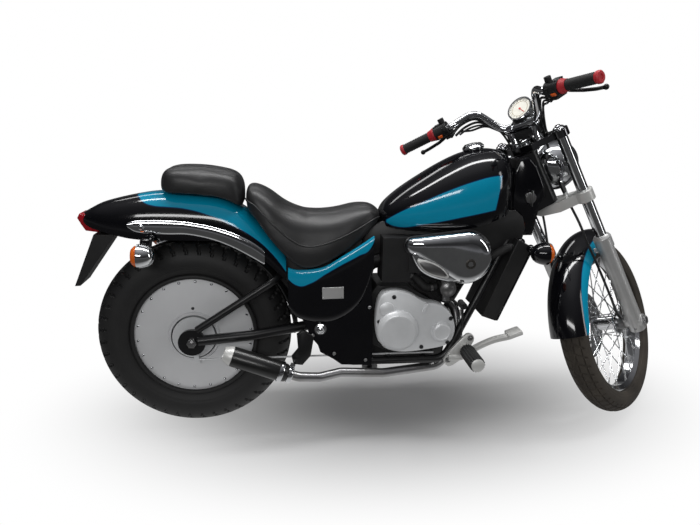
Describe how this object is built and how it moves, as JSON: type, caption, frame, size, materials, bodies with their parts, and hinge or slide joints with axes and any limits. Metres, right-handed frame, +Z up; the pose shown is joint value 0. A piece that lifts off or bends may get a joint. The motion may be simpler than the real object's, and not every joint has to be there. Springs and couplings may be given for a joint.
{
  "type": "cruiser motorcycle",
  "caption": "Small low cruiser motorcycle leaning on its side stand, with raised bar, teardrop tank, stepped seat, wire front wheel, disc rear wheel and chain drive.",
  "frame": {"origin": "centre of the bounding box on the ground plane, with the machine leaning on its side stand and the bar turned left to its stop", "axes": "+X forward along the machine, +Y to its left (the side it leans to), +Z up"},
  "size_m": [2.0158, 0.5596, 1.1587],
  "materials": {
    "frame_black": "satin",
    "steel": "satin",
    "dark_steel": "satin",
    "engine_black": "satin",
    "alloy": "satin",
    "dark_alloy": "satin",
    "black_plastic": "matte",
    "chrome": "polished",
    "radiator_black": "satin",
    "muffler_black": "satin",
    "body_paint": "gloss",
    "leather": "satin",
    "red_lens": "gloss",
    "amber_lens": "gloss",
    "rubber": "matte",
    "lamp_glass": "gloss",
    "black_paint": "satin",
    "tyre": "matte",
    "wheel_silver": "satin"
  },
  "bodies": {
    "chassis": {"frame": "frame_black", "ignition_lock": "steel", "swingarm": "frame_black", "rear_axle": "steel", "chain": "dark_steel", "crankcase": "engine_black", "engine_covers": "alloy", "cylinder": "engine_black", "pivot_covers": "body_paint", "intake": "black_plastic", "air_cleaner": "chrome", "radiator": "radiator_black", "exhaust_pipe": "dark_steel", "muffler": "muffler_black", "fuel_tank": "body_paint", "fuel_cap": "chrome", "rider_seat": "leather", "pillion_seat": "leather", "rear_fender": "body_paint", "side_covers": "body_paint", "fender_rails": "chrome", "tail_lamp": "red_lens", "plate_bracket": "black_plastic", "indicators": "chrome", "indicator_lenses": "amber_lens", "peg_brackets": "frame_black", "footpegs": "rubber", "foot_controls": "steel", "rear_brake": "alloy"},
    "steering": {"lower_yoke": "alloy", "top_yoke": "dark_alloy", "stanchions": "chrome", "sliders": "alloy", "front_axle": "steel", "front_fender": "body_paint", "headlamp": "chrome", "headlamp_lens": "lamp_glass", "speedometer": "chrome", "handlebar": "chrome", "grips": "rubber", "switch_housings": "black_plastic", "mirror_bosses": "black_plastic", "levers": "black_paint", "brake_caliper": "dark_alloy", "cables": "black_plastic"},
    "front_wheel": {"front_tyre": "tyre", "front_wheel": "chrome", "brake_disc": "steel"},
    "rear_wheel": {"rear_tyre": "tyre", "rear_wheel": "wheel_silver", "rear_sprocket": "steel"},
    "side_stand": {"side_stand": "frame_black"}
  },
  "joints": [
    {"name": "steering_turn", "type": "hinge", "parent": "chassis", "child": "steering", "pos_m": [0.45733, 0.07776, 0.79662], "axis": [-0.4658, 0.1286, 0.8755], "range_deg": [-90, 0]},
    {"name": "front_wheel_spin", "type": "hinge", "parent": "steering", "child": "front_wheel", "pos_m": [0.76053, 0.02902, 0.27977], "axis": [-0.6267, 0.6505, -0.429], "continuous": true},
    {"name": "rear_wheel_spin", "type": "hinge", "parent": "chassis", "child": "rear_wheel", "pos_m": [-0.6565, 0.00351, 0.3044], "axis": [-0.0014, 0.9893, -0.1461], "continuous": true},
    {"name": "side_stand_fold", "type": "hinge", "parent": "chassis", "child": "side_stand", "pos_m": [-0.09352, 0.12808, 0.22132], "axis": [0.1133, 0.9311, 0.3468], "range_deg": [0, 100]}
  ]
}
